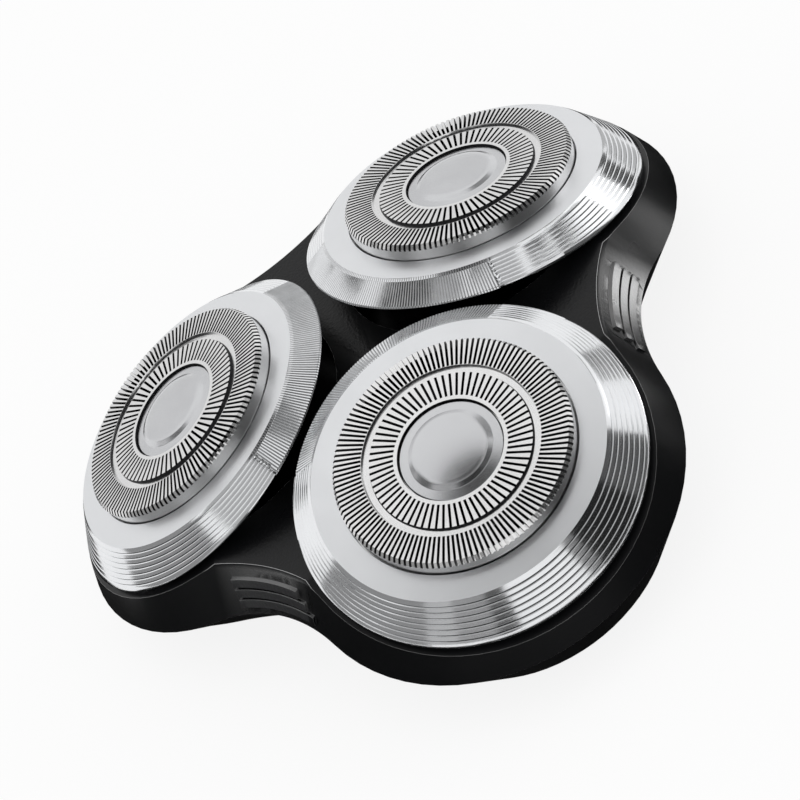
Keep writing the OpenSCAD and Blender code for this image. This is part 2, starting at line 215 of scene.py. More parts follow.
class StageSizes(bpy.types.PropertyGroup):
    floor: bpy.props.FloatProperty(
        name="Floor", description="Side of the pale floor", default=3.0, unit="LENGTH")
    paper: bpy.props.FloatVectorProperty(
        name="Paper", description="Colour of the floor", subtype="COLOR", size=4,
        default=(0.16, 0.16, 0.16, 1), min=0, max=1)
    glow: bpy.props.FloatProperty(
        name="Glow", description="Light of the floor's own that the camera and reflections see", default=0.86)
    sky: bpy.props.FloatProperty(
        name="Sky", description="Strength of the soft light from all round", default=0.75)
    card_distance: bpy.props.FloatProperty(
        name="Card distance", description="Distance of the dark cards from the middle of the floor",
        default=0.6, unit="LENGTH")
    lens: bpy.props.FloatProperty(
        name="Lens", description="Focal length of the camera in millimetres", default=170.717)


# Shader maths and nodes


class Value:
    """A number that varies over a surface. Arithmetic on it adds Math nodes to its material."""

    def __init__(self, finish, socket):
        self.finish = finish
        self.socket = socket

    def maths(self, operation, *terms):
        node = self.finish.add("ShaderNodeMath", {"operation": operation}, dict(enumerate(terms)))
        return Value(self.finish, node.outputs[0])

    def __add__(self, other):
        return self.maths("ADD", self, other)

    __radd__ = __add__

    def __mul__(self, other):
        return self.maths("MULTIPLY", self, other)

    __rmul__ = __mul__

    def __sub__(self, other):
        return self.maths("SUBTRACT", self, other)

    def __rsub__(self, other):
        return self.maths("SUBTRACT", other, self)

    def __truediv__(self, other):
        return self.maths("DIVIDE", self, other)

    def __rtruediv__(self, other):
        return self.maths("DIVIDE", other, self)

    def root(self):
        return self.maths("SQRT", self)

    def cosine(self):
        return self.maths("COSINE", self)

    def __gt__(self, other):
        return self.maths("GREATER_THAN", self, other)

    def __lt__(self, other):
        return self.maths("LESS_THAN", self, other)


class Finish:
    """One material and the nodes that give its looks."""

    def __init__(self, name, **constants):
        self.material = bpy.data.materials.new(name)
        self.material.use_nodes = True
        self.nodes = self.material.node_tree.nodes
        self.links = self.material.node_tree.links
        self.shader = self.nodes["Principled BSDF"]
        for socket, value in constants.items():
            self.shader.inputs[socket.replace("_", " ")].default_value = value

    def add(self, kind, settings=None, inputs=None):
        """A node of that type, with its settings made first and then its inputs."""
        node = self.nodes.new(kind)
        for name, setting in (settings or {}).items():
            setattr(node, name, setting)
        for name, given in (inputs or {}).items():
            self.feed(node.inputs[name], given)
        return node

    def feed(self, socket, given):
        if isinstance(given, Value):
            given = given.socket
        if isinstance(given, bpy.types.NodeSocket):
            self.links.new(given, socket)
        else:
            socket.default_value = given

    def give(self, name, given):
        """Feeds one of the shader's own sockets."""
        self.feed(self.shader.inputs[name], given)

    def coordinates(self, kind="Object", place=None, scale=(1, 1, 1)):
        """Coordinates for a pattern, centred and turned on place, which is a matrix."""
        source = self.add("ShaderNodeTexCoord").outputs[kind]
        inputs = {"Vector": source, "Scale": scale}
        if place is not None:
            inputs["Location"] = place.to_translation()
            inputs["Rotation"] = place.to_euler()
        settings = {"vector_type": "TEXTURE" if place is not None else "POINT"}
        return self.add("ShaderNodeMapping", settings, inputs).outputs[0]

    def attribute(self, name):
        """The parts of a vector that the mesh keeps for each of its points."""
        return self.split(self.add("ShaderNodeAttribute", {"attribute_name": name}).outputs["Vector"])

    def noise(self, where, scale, detail=2.0, roughness=0.5):
        node = self.add("ShaderNodeTexNoise", None, {
            "Vector": where, "Scale": scale, "Detail": detail, "Roughness": roughness})
        return Value(self, node.outputs[0])

    def split(self, where):
        node = self.add("ShaderNodeSeparateXYZ", None, {0: where})
        return [Value(self, part) for part in node.outputs]

    def spread(self, given, low, high, to_low, to_high):
        """given, stretched from low..high to to_low..to_high and held between them."""
        node = self.add("ShaderNodeMapRange", {"clamp": True}, {
            0: given, 1: low, 2: high, 3: to_low, 4: to_high})
        return Value(self, node.outputs[0])

    def blend(self, share, first, second):
        """A colour between two colours."""
        node = self.add("ShaderNodeMix", {"data_type": "RGBA"}, {0: share, 6: first, 7: second})
        return node.outputs[2]

    def bump(self, height, distance, strength=1.0):
        node = self.add("ShaderNodeBump", None, {
            "Height": height, "Distance": distance, "Strength": strength})
        self.give("Normal", node.outputs[0])


def tint(colour, factor):
    """A colour made lighter or darker by a factor."""
    return [min(1.0, part * factor) for part in colour[:3]] + [1.0]


def finishes():
    return bpy.context.scene.head_finishes


# Finishes of the real head


def satin_face():
    """Fine-blasted chrome of the bezels' flat faces."""
    metal = Finish("bezel_satin", Metallic=1.0)
    where = metal.coordinates(scale=(1, 1, 1))
    grain = metal.noise(where, 26000, 1.0)
    cloud = metal.noise(where, 260, 3.0)
    metal.give("Base Color", metal.blend(cloud, tint(finishes().chrome, 1.04), tint(finishes().chrome, 1.12)))
    metal.give("Roughness", metal.spread(cloud, 0.3, 0.7, 0.30, 0.38))
    metal.bump(grain, 0.004 * MM, 0.35)
    return metal.material


def turned_skirt():
    """Turned chrome of the skirts, with fine lines that follow the turning."""
    metal = Finish("bezel_turned", Metallic=1.0)
    x, y, z = metal.attribute("unit_place")
    turn = y.maths("ARCTAN2", y, x)
    across = metal.add("ShaderNodeCombineXYZ", None, {0: (x * x + y * y).root(), 1: z, 2: turn * 0.4 * MM})
    lines = metal.noise(across.outputs[0], 9000, 2.0, 0.6)
    cloud = metal.noise(metal.coordinates(), 420, 3.0)
    metal.give("Base Color", metal.blend(cloud, tint(finishes().chrome, 1.0), tint(finishes().chrome, 1.12)))
    metal.give("Roughness", metal.spread(lines, 0.3, 0.7, 0.08, 0.18))
    metal.bump(lines, 0.006 * MM, 0.5)
    return metal.material


def knurled_chrome():
    """Chrome of the knurled sectors, whose fine lines scatter the light."""
    metal = Finish("bezel_knurl", Metallic=1.0)
    grain = metal.noise(metal.coordinates(), 900, 3.0)
    metal.give("Base Color", metal.blend(grain, tint(finishes().chrome, 0.95), tint(finishes().chrome, 1.1)))
    metal.give("Roughness", metal.spread(grain, 0.3, 0.7, 0.12, 0.18))
    return metal.material


def knurl_painted_shade():
    """Chrome darkened on every second fine line of the knurl: painted shade on the lines' shaded sides."""
    metal = Finish("bezel_knurl_valleys", Metallic=1.0, Roughness=0.35)
    grain = metal.noise(metal.coordinates(), 900, 3.0)
    metal.give("Base Color", metal.blend(grain, tint(finishes().chrome, 0.4), tint(finishes().chrome, 0.7)))
    return metal.material


def guard_steel(unit):
    """Polished steel of a guard, with turning marks round its axis."""
    metal = Finish(f"guard_steel_{unit}", Metallic=1.0)
    where = metal.coordinates(place=HEADS[unit])
    x, y, z = metal.split(where)
    rim = (x * x + y * y).root()
    rings = metal.add("ShaderNodeCombineXYZ", None, {0: rim * 60, 1: z * 20, 2: 0.0})
    marks = metal.noise(rings.outputs[0], 900, 2.0, 0.6)
    cloud = metal.noise(where, 500, 2.0)
    metal.give("Base Color", metal.blend(cloud, tint(finishes().steel, 0.94), tint(finishes().steel, 1.08)))
    metal.give("Roughness", metal.spread(marks, 0.3, 0.7, 0.14, 0.24))
    metal.bump(marks, 0.003 * MM, 0.4)
    return metal.material


def painted_shade_steel():
    """Dark steel painted on the slots' walls, the groove's sides and the inside of the guards: painted shade."""
    metal = Finish("guard_etched_steel", Metallic=1.0, Roughness=0.5)
    cloud = metal.noise(metal.coordinates(), 1500, 2.0)
    metal.give("Base Color", metal.blend(cloud, tint(finishes().cutter, 0.6), tint(finishes().cutter, 1.6)))
    return metal.material


def satin_cap():
    metal = Finish("cap_satin", Metallic=1.0)
    where = metal.coordinates()
    grain = metal.noise(where, 16000, 1.0)
    cloud = metal.noise(where, 300, 3.0)
    metal.give("Base Color", metal.blend(cloud, tint(finishes().cap, 0.92), tint(finishes().cap, 1.06)))
    metal.give("Roughness", metal.spread(cloud, 0.3, 0.7, 0.2, 0.26))
    metal.bump(grain, 0.004 * MM, 0.12)
    return metal.material


# Cutter steel darkened to nearly black: painted shade for the inside of the guards.
def cutter_painted_shade():
    metal = Finish("cutter_dark_steel", Metallic=1.0)
    cloud = metal.noise(metal.coordinates(), 1200, 3.0)
    metal.give("Base Color", metal.blend(cloud, tint(finishes().cutter, 0.8), tint(finishes().cutter, 1.4)))
    metal.give("Roughness", metal.spread(cloud, 0.3, 0.7, 0.30, 0.42))
    return metal.material


def bright_steel():
    """Plain steel of the spindles, springs, screws and gear plate."""
    metal = Finish("drive_steel", Metallic=1.0)
    where = metal.coordinates()
    scratches = metal.noise(where, 2600, 4.0, 0.6)
    metal.give("Base Color", metal.blend(scratches, tint(finishes().steel, 0.62), tint(finishes().steel, 0.86)))
    metal.give("Roughness", metal.spread(scratches, 0.3, 0.7, 0.22, 0.38))
    metal.bump(scratches, 0.004 * MM, 0.3)
    return metal.material


def gear_resin():
    resin = Finish("gear_resin", Specular_IOR_Level=0.45, Subsurface_Weight=0.0)
    cloud = resin.noise(resin.coordinates(), 700, 3.0)
    resin.give("Base Color", resin.blend(cloud, tint(finishes().resin, 0.9), finishes().resin[:]))
    resin.give("Roughness", resin.spread(cloud, 0.3, 0.7, 0.38, 0.5))
    resin.bump(cloud, 0.01 * MM, 0.2)
    return resin.material


def moulded_black(name, colour, waist_grain):
    """Moulded black plastic, softly glossy, with a leathery grain that fades away from the waists."""
    plastic = Finish(name, IOR=1.45, Specular_IOR_Level=0.25, Coat_IOR=2.0, Coat_Roughness=0.25)
    where = plastic.coordinates()
    x, y, z = plastic.split(where)
    lobe = (y.maths("ARCTAN2", y, x) * 3).cosine()
    grip = plastic.spread(lobe, -0.75, -0.95, 0.1, 1.0)
    grain = plastic.noise(where, 3600, 2.0, 0.6)
    cloud = plastic.noise(where, 120, 3.0)
    plastic.give("Base Color", plastic.blend(cloud, tint(colour, 0.8), tint(colour, 1.5)))
    plastic.give("Roughness", plastic.spread(cloud, 0.3, 0.7, 0.26, 0.36))
    outside = plastic.spread((x * x + y * y).root(), 20 * MM, 20.5 * MM, 0.0, 1.0)
    below_deck = plastic.spread(z, 12.75 * MM, 12.6 * MM, 0.0, 1.0)
    plastic.give("Coat Weight", outside * below_deck * plastic.spread(lobe, -0.75, -0.95, 0.0, 1.0))
    plastic.bump(grain * grip, 0.05 * MM, waist_grain)
    return plastic.material


def painted_edge_highlight():
    """The housing's rounded edges, coloured light grey as a painted highlight, strongest round the deck."""
    plastic = Finish("housing_edge", IOR=2.0, Specular_IOR_Level=0.8)
    where = plastic.coordinates()
    x, y, z = plastic.split(where)
    cloud = plastic.noise(where, 160, 3.0)
    highlight_share = plastic.spread(cloud, 0.3, 0.7, 0.7, 1.0) * plastic.spread(z, 12.3 * MM, 12.6 * MM, 0.15, 1.0)
    plastic.give("Base Color", plastic.blend(highlight_share, (0, 0, 0, 1), finishes().edge[:]))
    plastic.give("Roughness", plastic.spread(cloud, 0.3, 0.7, 0.22, 0.32))
    return plastic.material


def gloss_black():
    """Polished black plastic of the cups that carry the shaving units."""
    plastic = Finish("cup_gloss_black", IOR=2.0, Specular_IOR_Level=0.5)
    cloud = plastic.noise(plastic.coordinates(), 400, 2.0)
    plastic.give("Base Color", plastic.blend(cloud, tint(finishes().black, 0.5), tint(finishes().black, 0.9)))
    plastic.give("Roughness", plastic.spread(cloud, 0.3, 0.7, 0.10, 0.16))
    return plastic.material


# Modelling by hand


def start_piece(name):
    """Names the primitive that was just added, which is still selected and active."""
    piece = bpy.context.active_object
    piece.name = name
    piece.data.name = name
    return piece


def deselect_all():
    bpy.ops.object.select_all(action="DESELECT")


def pick(piece, kind, test):
    """Selects the vertices, edges or faces of a mesh that pass a test, and nothing else."""
    bpy.ops.object.mode_set(mode="EDIT")
    bpy.ops.mesh.select_mode(type=kind)
    bpy.ops.mesh.select_all(action="DESELECT")
    bpy.ops.object.mode_set(mode="OBJECT")
    parts = {"VERT": piece.data.vertices, "EDGE": piece.data.edges, "FACE": piece.data.polygons}[kind]
    for part in parts:
        part.select = test(part)
    bpy.ops.object.mode_set(mode="EDIT")


def drawn(name, points):
    """A new piece with a line of edges through the points, left in edit mode."""
    deselect_all()
    bpy.ops.mesh.primitive_plane_add(size=MM, location=(0, 0, 0))
    piece = start_piece(name)
    bpy.ops.object.mode_set(mode="EDIT")
    bpy.ops.mesh.select_mode(type="VERT")
    bpy.ops.mesh.merge(type="CENTER")
    bpy.ops.transform.translate(value=points[0])
    for start, end in zip(points, points[1:]):
        bpy.ops.mesh.extrude_vertices_move(TRANSFORM_OT_translate={"value": end - start})
    return piece


def spun(name, profile, steps):
    """A closed piece turned round Z from a profile of (radius, height) points, which may end on the axis."""
    piece = drawn(name, [Vector((radius, 0, height)) for radius, height in profile])
    last = len(profile) - 1
    if profile[0][0] > 0:
        pick(piece, "VERT", lambda vert: vert.index in (0, last))
        bpy.ops.mesh.edge_face_add()
    bpy.ops.mesh.select_all(action="SELECT")
    bpy.ops.mesh.spin(steps=steps, angle=math.tau, use_auto_merge=True, center=(0, 0, 0), axis=(0, 0, 1))
    bpy.ops.mesh.select_all(action="SELECT")
    bpy.ops.mesh.remove_doubles(threshold=0.001 * MM)
    bpy.ops.mesh.normals_make_consistent(inside=False)
    bpy.ops.object.mode_set(mode="OBJECT")
    return piece


def only(piece):
    """Selects one piece alone and makes it active."""
    deselect_all()
    piece.select_set(True)
    bpy.context.view_layer.objects.active = piece


def apply_modifier(piece, kind, **settings):
    only(piece)
    modifier = piece.modifiers.new(kind.title(), kind)
    for name, setting in settings.items():
        setattr(modifier, name, setting)
    bpy.ops.object.modifier_apply(modifier=modifier.name)


def remember_place(piece):
    """Keeps each point's place in the unit's own frame, for the patterns that follow the turning."""
    points = piece.data.vertices
    kept = piece.data.attributes.new("unit_place", "FLOAT_VECTOR", "POINT")
    flat = [part for point in points for part in point.co]
    kept.data.foreach_set("vector", flat)


def copied(piece, name, place):
    """A copy of a piece with its own mesh, set at a place, with its place in its mesh."""
    twin = piece.copy()
    twin.data = piece.data.copy()
    twin.name = name
    twin.data.name = name
    bpy.context.scene.collection.objects.link(twin)
    twin.data.transform(place)
    return twin


def finish_piece(piece, node, body, angle):
    """Shades a piece by angle and lets it stand for its CAD node, on its body."""
    only(piece)
    bpy.ops.object.shade_smooth_by_angle(angle=angle)
    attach(piece, body)
    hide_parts(node)


def stand_for_units(piece, name, node, angle):
    """Copies a piece made in the unit's own frame to all three shaving units, and removes the first."""
    for unit in UNITS:
        twin = copied(piece, f"{name}_{unit}", HEADS[unit])
        finish_piece(twin, f"{node}_{unit}", f"head_{unit}", angle)
    bpy.data.objects.remove(piece)


# Bezels


def skirt_line(sizes):
    """Top, direction and outward normal of the skirt's slope, as (radius, height) vectors."""
    top = Vector((sizes.satin, -sizes.fall))
    run = Vector((sizes.edge, -sizes.drop)) - top
    return top, run, Vector((-run.y, run.x)).normalized()


def groove_points(sizes):
    """Profile points of the grooves between the skirt's turned bands: two edges and the bottom between them."""
    top, run, normal = skirt_line(sizes)
    half = sizes.groove / 2
    points = []
    for k in range(1, sizes.bands):
        for offset, depth in ((-half, 0), (0, 1), (half, 0)):
            on_slope = top + run * (k / sizes.bands + offset / run.length)
            points.append((on_slope, normal * depth * sizes.groove_depth))
    return points


def polar(point):
    """Distance from the axis, and angle from the side that faces the middle of the head."""
    return math.hypot(point.x, point.y), math.atan2(-point.y, -point.x)


def knurl_skirt(bezel, sizes):
    """Fills the grooves in the sector that faces the middle, and cuts the fine lines there."""
    tiny = 0.005 * MM
    half = sizes.knurl
    for on_slope, inward in groove_points(sizes):
        if inward.length > 0:
            bottom = on_slope - inward

            def in_groove(vert):
                radius, angle = polar(vert.co)
                near = abs(radius - bottom.x) < tiny and abs(vert.co.z - bottom.y) < tiny
                return near and abs(angle) < half

            pick(bezel, "VERT", in_groove)
            grow = on_slope.x / bottom.x
            bpy.ops.transform.resize(value=(grow, grow, 1), center_override=(0, 0, 0))
            bpy.ops.transform.translate(value=(0, 0, inward.y))
    step = math.tau / sizes.steps
    lowest = -sizes.drop - sizes.lip / 2

    def in_line(vert):
        radius, angle = polar(vert.co)
        on_skirt = radius > sizes.satin + tiny and vert.co.z > lowest
        return on_skirt and abs(angle) < half and round(angle / step) % 2 == 1

    pick(bezel, "VERT", in_line)
    bpy.ops.transform.resize(
        value=(1 - sizes.knurl_depth / sizes.edge,) * 2 + (1,), center_override=(0, 0, 0))
    bpy.ops.object.mode_set(mode="OBJECT")


def lean_skirt(bezel, sizes):
    """Leans and shifts the skirt in proportion to its drop, with a lattice round it."""
    skirt = bezel.vertex_groups.new(name="skirt")
    outside = [vert.index for vert in bezel.data.vertices
               if polar(vert.co)[0] > sizes.satin - 0.2 * MM and vert.co.z < 0]
    skirt.add(outside, 1.0, "REPLACE")
    deselect_all()
    reach = 2 * sizes.edge
    bpy.ops.object.add(type="LATTICE", location=(0, 0, -sizes.drop / 2))
    cage = bpy.context.active_object
    cage.scale = (reach, reach, sizes.drop)
    cage.data.interpolation_type_w = "KEY_LINEAR"
    cage.data.interpolation_type_u = "KEY_LINEAR"
    cage.data.interpolation_type_v = "KEY_LINEAR"
    for corner in cage.data.points:
        if corner.co.z < 0:
            corner.co_deform.x += sizes.shift / reach
            corner.co_deform.z -= corner.co.x * reach * math.sin(sizes.lean) / sizes.drop
    bpy.context.view_layer.update()
    apply_modifier(bezel, "LATTICE", object=cage, vertex_group="skirt")
    bezel.vertex_groups.clear()
    bpy.data.objects.remove(cage)


def bezel_profile(sizes):
    edge = 0.05 * MM
    plate = 1.0 * MM
    foot = -sizes.drop
    lip = foot - sizes.lip
    slope = [tuple(on_slope - inward) for on_slope, inward in groove_points(sizes)]
    return [
        (sizes.bore, -plate), (sizes.bore, -edge), (sizes.bore + edge, 0),
        (sizes.satin - edge, -sizes.fall), (sizes.satin, -sizes.fall - edge), *slope,
        (sizes.edge - edge, foot + edge), (sizes.edge, foot - edge),
        (sizes.edge, lip + edge), (sizes.edge - edge, lip),
        (sizes.edge - 0.3 * MM, lip), (sizes.satin + 0.05 * MM, -1.25 * MM), (sizes.bore + 1.85 * MM, -plate)]


def dress_bezel(bezel, sizes):
    """Gives the bezel its finishes, by where a face lies."""
    for material in (satin_face(), turned_skirt(), knurled_chrome(), knurl_painted_shade()):
        bezel.data.materials.append(material)
    tiny = 0.03 * MM
    for face in bezel.data.polygons:
        radius, angle = polar(face.center)
        if radius > sizes.satin - tiny:
            # Every second column of faces in the knurled sector takes the darker chrome: painted shade.
            shaded = math.floor(angle / math.tau * sizes.steps) % 2
            face.material_index = 2 + shaded if abs(angle) < sizes.knurl else 1


class SHAVER_OT_bezels(bpy.types.Operator):
    """Models the metal bezel with its turned skirt and knurled sector, one for each shaving unit"""

    bl_idname = "shaver.bezels"
    bl_label = "Bezels"

    def execute(self, context):
        sizes = context.scene.head_bezel
        bezel = spun("bezel", bezel_profile(sizes), sizes.steps)
        knurl_skirt(bezel, sizes)
        dress_bezel(bezel, sizes)
        lean_skirt(bezel, sizes)
        remember_place(bezel)
        stand_for_units(bezel, "bezel", "bezel_ring", math.radians(24))
        return {"FINISHED"}


# Caps in the guards' middle


class SHAVER_OT_caps(bpy.types.Operator):
    """Models the domed cap with its raised disc, one for each guard"""

    bl_idname = "shaver.caps"
    bl_label = "Caps"

    def execute(self, context):
        sizes = context.scene.head_cap
        post, neck, edge = 1.2 * MM, 2.15 * MM, 0.05 * MM
        inner = sizes.disc + sizes.slope
        low = sizes.rim + 0.12 * MM
        high = low + sizes.step
        profile = [(0, -1.4 * MM), (post, -1.4 * MM), (post, 0.4 * MM), (neck, 0.6 * MM), (neck, sizes.foot),
                   (sizes.radius - edge, sizes.foot), (sizes.radius, sizes.foot + edge),
                   (sizes.radius, sizes.rim - edge), (sizes.radius - edge, sizes.rim)]
        for share in (0.1, 0.9, 1.0):
            profile.append((sizes.radius - edge + (inner - sizes.radius + edge) * share,
                            sizes.rim + (low - sizes.rim) * share))
        for share in (0.12, 0.88, 1.0):
            profile.append((inner - sizes.slope * share, low + sizes.step * share))
        for k in range(1, 9):
            radius = sizes.disc * (1 - k / 8)
            profile.append((radius, high + (sizes.crown - high) * (1 - (radius / sizes.disc) ** 2)))
        cap = spun("cap", profile, sizes.steps)
        cap.data.materials.append(satin_cap())
        remember_place(cap)
        stand_for_units(cap, "cap_dome", "guard_cap", math.radians(40))
        return {"FINISHED"}


# Housing shells


def merged_copy(node, name, materials):
    """A copy of a CAD piece whose faces are joined along their edges, with its materials."""
    piece = frame["nodes"][node].copy()
    piece.data = piece.data.copy()
    piece.name = name
    piece.data.name = name
    piece.parent = None
    bpy.context.scene.collection.objects.link(piece)
    only(piece)
    piece.data.materials.clear()
    for material in materials:
        piece.data.materials.append(material)
    bpy.ops.object.mode_set(mode="EDIT")
    bpy.ops.mesh.select_all(action="SELECT")
    bpy.ops.mesh.customdata_custom_splitnormals_clear()
    bpy.ops.mesh.remove_doubles(threshold=0.001 * MM)
    bpy.ops.mesh.dissolve_limited(angle_limit=math.radians(0.5))
    bpy.ops.object.mode_set(mode="OBJECT")
    return piece


def shell_slot(shell, face, sizes):
    """The material of a shell's face: 2 on the grip ribs' outer faces, 1 (the painted edge highlight) on their
    ends, else 0.
    """
    heights = [shell.data.vertices[index].co.z for index in face.vertices]
    between = sizes.rib_low < min(heights) and max(heights) < sizes.rib_high
    wide = max(heights) - min(heights) > sizes.rib_width
    if not (between and wide and face.center.xy.length > sizes.rib_reach and abs(face.normal.z) < 0.6):
        return 0
    azimuth = math.degrees(math.atan2(face.center.y, face.center.x))
    waist = math.radians(round((azimuth - 60) / 120) * 120 + 60)
    across = face.normal.x * math.cos(waist) + face.normal.y * math.sin(waist)
    return 2 if across > 0.5 else 1


def rounded_shell(node, name, materials, sizes):
    """A merged copy of a CAD shell with rounded edges and grained ribs, which stands for it."""
    shell = merged_copy(node, name, materials)
    for face in shell.data.polygons:
        face.material_index = shell_slot(shell, face, sizes)
    # The rounds take material 1, the painted edge highlight.
    apply_modifier(shell, "BEVEL", width=sizes.edge_round, segments=3, limit_method="ANGLE",
                   angle_limit=sizes.sharp, use_clamp_overlap=True, harden_normals=False, material=1)
    finish_piece(shell, node, "base", math.radians(35))
    apply_modifier(shell, "WEIGHTED_NORMAL", mode="FACE_AREA", weight=50, keep_sharp=True)


class SHAVER_OT_housing(bpy.types.Operator):
    """Rounds the edges of the two moulded housing shells"""

    bl_idname = "shaver.housing"
    bl_label = "Housing shells"

    def execute(self, context):
        black = moulded_black("housing_black", finishes().black, 0.8)
        grip = moulded_black("housing_ribs", finishes().rib, 1.0)
        sizes = context.scene.head_housing
        for node, name in (("upper_housing", "housing_top"), ("lower_shell", "housing_bottom")):
            rounded_shell(node, name, (black, painted_edge_highlight(), grip), sizes)
        return {"FINISHED"}


# Guards


def dress_guard(unit, dark):
    """A merged copy of a guard whose slot walls, groove sides and inside are painted dark as shade, which stands
    for it.
    """
    guard = merged_copy(f"shaving_guard_{unit}", f"guard_{unit}", (guard_steel(unit), dark))
    to_unit = HEADS[unit].inverted()
    rim = max(polar(to_unit @ vert.co)[0] for vert in guard.data.vertices) - 0.8 * MM
    for face in guard.data.polygons:
        place = to_unit @ face.center
        normal = to_unit.to_3x3() @ face.normal
        side = abs(normal.y * place.x - normal.x * place.y) / place.xy.length
        steep = normal.z < 0.8 and place.xy.length < rim
        bright = 7.9 * MM < place.xy.length < 8.3 * MM and normal.xy.dot(place.xy) < 0 and normal.z > -0.5
        # Slot walls, steep faces inside the rim and undersides take the dark steel as painted shade; the groove's
        # outer wall, which faces the axis, keeps the plain steel.
        if side > 0.9 or (steep and not bright):
            face.material_index = 1
    finish_piece(guard, f"shaving_guard_{unit}", f"head_{unit}", math.radians(25))


class SHAVER_OT_guards(bpy.types.Operator):
    """Finishes the slotted guards, one for each shaving unit"""

    bl_idname = "shaver.guards"
    bl_label = "Guards"

    def execute(self, context):
        dark = painted_shade_steel()
        for unit in UNITS:
            dress_guard(unit, dark)
        return {"FINISHED"}


# Finishes of the CAD nodes that stay


class SHAVER_OT_springs(bpy.types.Operator):
    """Makes the spindle springs from merged copies of the CAD springs, each on its gear; the share a pressed
    spindle would shorten it by is worked out but not used
    """

    bl_idname = "shaver.springs"
    bl_label = "Spindle springs"

    def execute(self, context):
        steel = bright_steel()
        for unit in UNITS:
            node = f"spindle_spring_{unit}"
            coil = merged_copy(node, f"coil_spring_{unit}", [steel])
            finish_piece(coil, node, f"gear_{unit}", math.radians(40))
            press = JOINTS[f"spindle_press_{unit}"]
            low, high = (Vector(corner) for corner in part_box(node))
            1 - press["range_m"][1] / (high.z - low.z)
            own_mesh(coil)
        return {"FINISHED"}


class SHAVER_OT_carried_over(bpy.types.Operator):
    """Gives the carried-over pieces their finishes"""

    bl_idname = "shaver.carried_over"
    bl_label = "Finishes of the other pieces"

    def execute(self, context):
        steel = bright_steel()
        dark_steel = cutter_painted_shade()
        resin = gear_resin()
        black = moulded_black("inner_black", finishes().black, 0.2)
        shared = {
            "gear_plate": steel, "cover_screw": steel, "drive_spindle": steel,
            "cutter": dark_steel, "cutter_carrier": resin, "cutter_gear": resin, "drive_gear": resin,
            "retaining_ring": black, "head_cup": gloss_black()}
        for name, node in frame["nodes"].items():
            material = shared.get(name) or shared.get(name.rsplit("_", 1)[0])
            if material is not None:
                node.data.materials.clear()
                node.data.materials.append(material)
        return {"FINISHED"}


# Stage


def area_light(name, place, aim, size, power):
    light = bpy.data.lights.new(name, "AREA")
    light.shape = "RECTANGLE"
    light.size, light.size_y = size
    light.energy = power
    lamp = bpy.data.objects.new(name, light)
    bpy.context.scene.collection.objects.link(lamp)
    lamp.location = place
    lamp.rotation_euler = (Vector(aim) - Vector(place)).to_track_quat("-Z", "Y").to_euler()
    return lamp


# Cards that only reflections show: azimuth, width, lowest and highest elevation in degrees, and tone
CARDS = (
    ("card_right", 36, 32, 0, 50, 0.02),
    ("card_right_grey", 66, 28, 0, 50, 0.10),
    ("card_right_top", 50, 44, 50, 62, 0.10),
    ("card_right_edge", 16.5, 7, 4, 44, 0.22),
    ("card_front", -29, 10, 6, 44, 0.10),
    ("card_front_grey", -43, 18, 6, 50, 0.32),
    ("card_front_light", -59, 14, 6, 50, 0.50),
    ("card_left", -93, 54, 0, 42, 0.28),
    ("card_left_top", -110, 44, 42, 66, 0.13),
    ("card_front_top", -65, 46, 50, 66, 0.45),
    ("card_back_left", -134, 12, 24, 42, 0.20),
    ("card_back_right", 112, 44, 34, 62, 0.30),
    ("card_right_light", 101, 16, 16, 22, 1.1),
    ("card_low_right", 114, 16, 1, 12, 0.10),
    ("card_over_front", -5, 66, 36, 66, 0.02),
    ("card_top", 0, 190, 66, 78, 0.45),
    ("card_zenith", 0, 360, 78, 90, 0.05),
    ("card_back", 180, 60, 6, 34, 0.84),
)

# Cards on the floor: azimuth and width in degrees, inner and outer reach and lift in millimetres, and tone
FLOOR_CARDS = (
    ("floor_flag", 0, 360, 0, 55, 0.1, 0.015),
    ("front_flag", 2, 212, 55, 160, 0.1, 0.015),
    ("side_grey", 121, 14, 60, 300, 0.1, 0.5),
    ("waist_strip", 84.5, 15, 50, 108, 0.2, 5.0),
    ("front_strip", 62, 8, 44, 58, 0.2, 1.0),
)


def sky_point(azimuth, elevation, distance):
    """A point seen from the object in that direction."""
    turn, rise = math.radians(azimuth), math.radians(elevation)
    flat = distance * math.cos(rise)
    return Vector((flat * math.cos(turn), flat * math.sin(turn), distance * math.sin(rise)))


def swept_card(name, line, width, tone):
    """A sheet swept round the middle axis from a line by a width in degrees, which only reflections show."""
    card = drawn(name, line)
    bpy.ops.mesh.select_all(action="SELECT")
    bpy.ops.mesh.spin(steps=24, angle=math.radians(width), center=(0, 0, 0), axis=(0, 0, 1))
    bpy.ops.object.mode_set(mode="OBJECT")
    felt = Finish(f"{name}_felt", Roughness=1.0, Specular_IOR_Level=0.0, Emission_Strength=1.0)
    felt.give("Base Color", (0, 0, 0, 1))
    felt.give("Emission Color", (tone, tone, tone, 1))
    card.data.materials.append(felt.material)
    card.visible_camera = False
    card.visible_diffuse = False
    card.visible_shadow = False


def seen_rays(nodes, links):
    """One where a ray comes straight from the camera, a reflection or a clear surface, else nothing."""
    path = nodes.new("ShaderNodeLightPath")
    seen = path.outputs["Is Camera Ray"]
    for kind in ("Is Glossy Ray", "Is Transmission Ray"):
        either = nodes.new("ShaderNodeMath")
        either.operation = "MAXIMUM"
        links.new(seen, either.inputs[0])
        links.new(path.outputs[kind], either.inputs[1])
        seen = either.outputs[0]
    return seen


